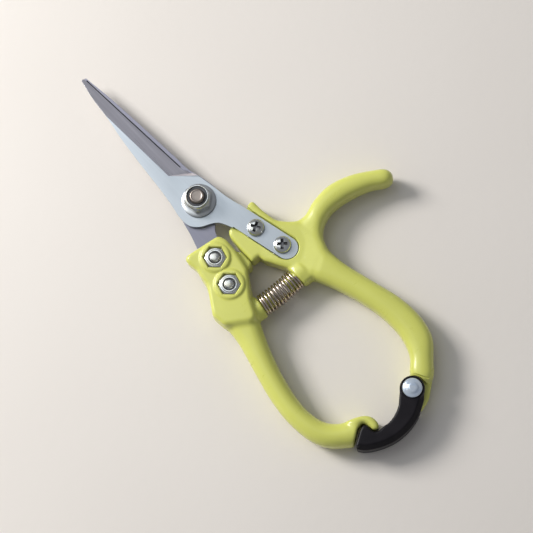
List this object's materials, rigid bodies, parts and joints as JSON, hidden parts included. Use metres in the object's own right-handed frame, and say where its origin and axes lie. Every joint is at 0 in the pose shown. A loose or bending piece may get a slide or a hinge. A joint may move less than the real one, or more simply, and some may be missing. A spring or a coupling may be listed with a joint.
{
  "type": "floral snips",
  "caption": "Floral snips with two slim pointed blades, lime moulded handles, a coil return spring, a thumb hook and a swinging black latch.",
  "frame": {"origin": "centre of the pivot bolt's head on its underside, which the snips rest on", "axes": "+Z along the pivot bolt, upwards from the surface the snips lie on; +Y from the pivot to the blade tips; +X to the side of the thumb hook"},
  "size_m": [0.0955, 0.1927, 0.0163],
  "materials": {
    "blade_steel": "satin ground steel",
    "handle_lime": "smooth moulded, soft gloss",
    "latch_black": "moulded, satin",
    "fastener_zinc": "bright zinc plate",
    "rivet_steel": "polished, domed",
    "spring_steel": "drawn wire, bright",
    "nylon": "smooth nylon"
  },
  "bodies": {
    "right": {"latch_rivet": "rivet_steel", "latch_rivet_washer": "fastener_zinc", "pivot_bolt": "fastener_zinc", "pivot_nut": "fastener_zinc", "pivot_nut_insert": "nylon", "pivot_washer_bottom": "fastener_zinc", "pivot_washer_top": "fastener_zinc", "return_spring": "spring_steel", "right_handle": "handle_lime", "right_tang_nut_front": "fastener_zinc", "right_tang_nut_front_insert": "nylon", "right_tang_nut_rear": "fastener_zinc", "right_tang_nut_rear_insert": "nylon", "right_tang_screw_front": "fastener_zinc", "right_tang_screw_rear": "fastener_zinc", "upper_blade": "blade_steel"},
    "left": {"left_handle": "handle_lime", "left_tang_nut_front": "fastener_zinc", "left_tang_nut_front_insert": "nylon", "left_tang_nut_rear": "fastener_zinc", "left_tang_nut_rear_insert": "nylon", "left_tang_screw_front": "fastener_zinc", "left_tang_screw_rear": "fastener_zinc", "lower_blade": "blade_steel"},
    "latch": {"latch_gate": "latch_black"}
  },
  "joints": [
    {"name": "main_pivot", "type": "hinge", "parent": "right", "child": "left", "pos_m": [0, 0, 0.007], "axis": [0, 0, -1], "range_deg": [0, 33], "deforming": ["return_spring"]},
    {"name": "latch_pivot", "type": "hinge", "parent": "right", "child": "latch", "pos_m": [0.00975, -0.1106, 0.006], "axis": [0, 0, 1], "range_deg": [0, 60]}
  ]
}
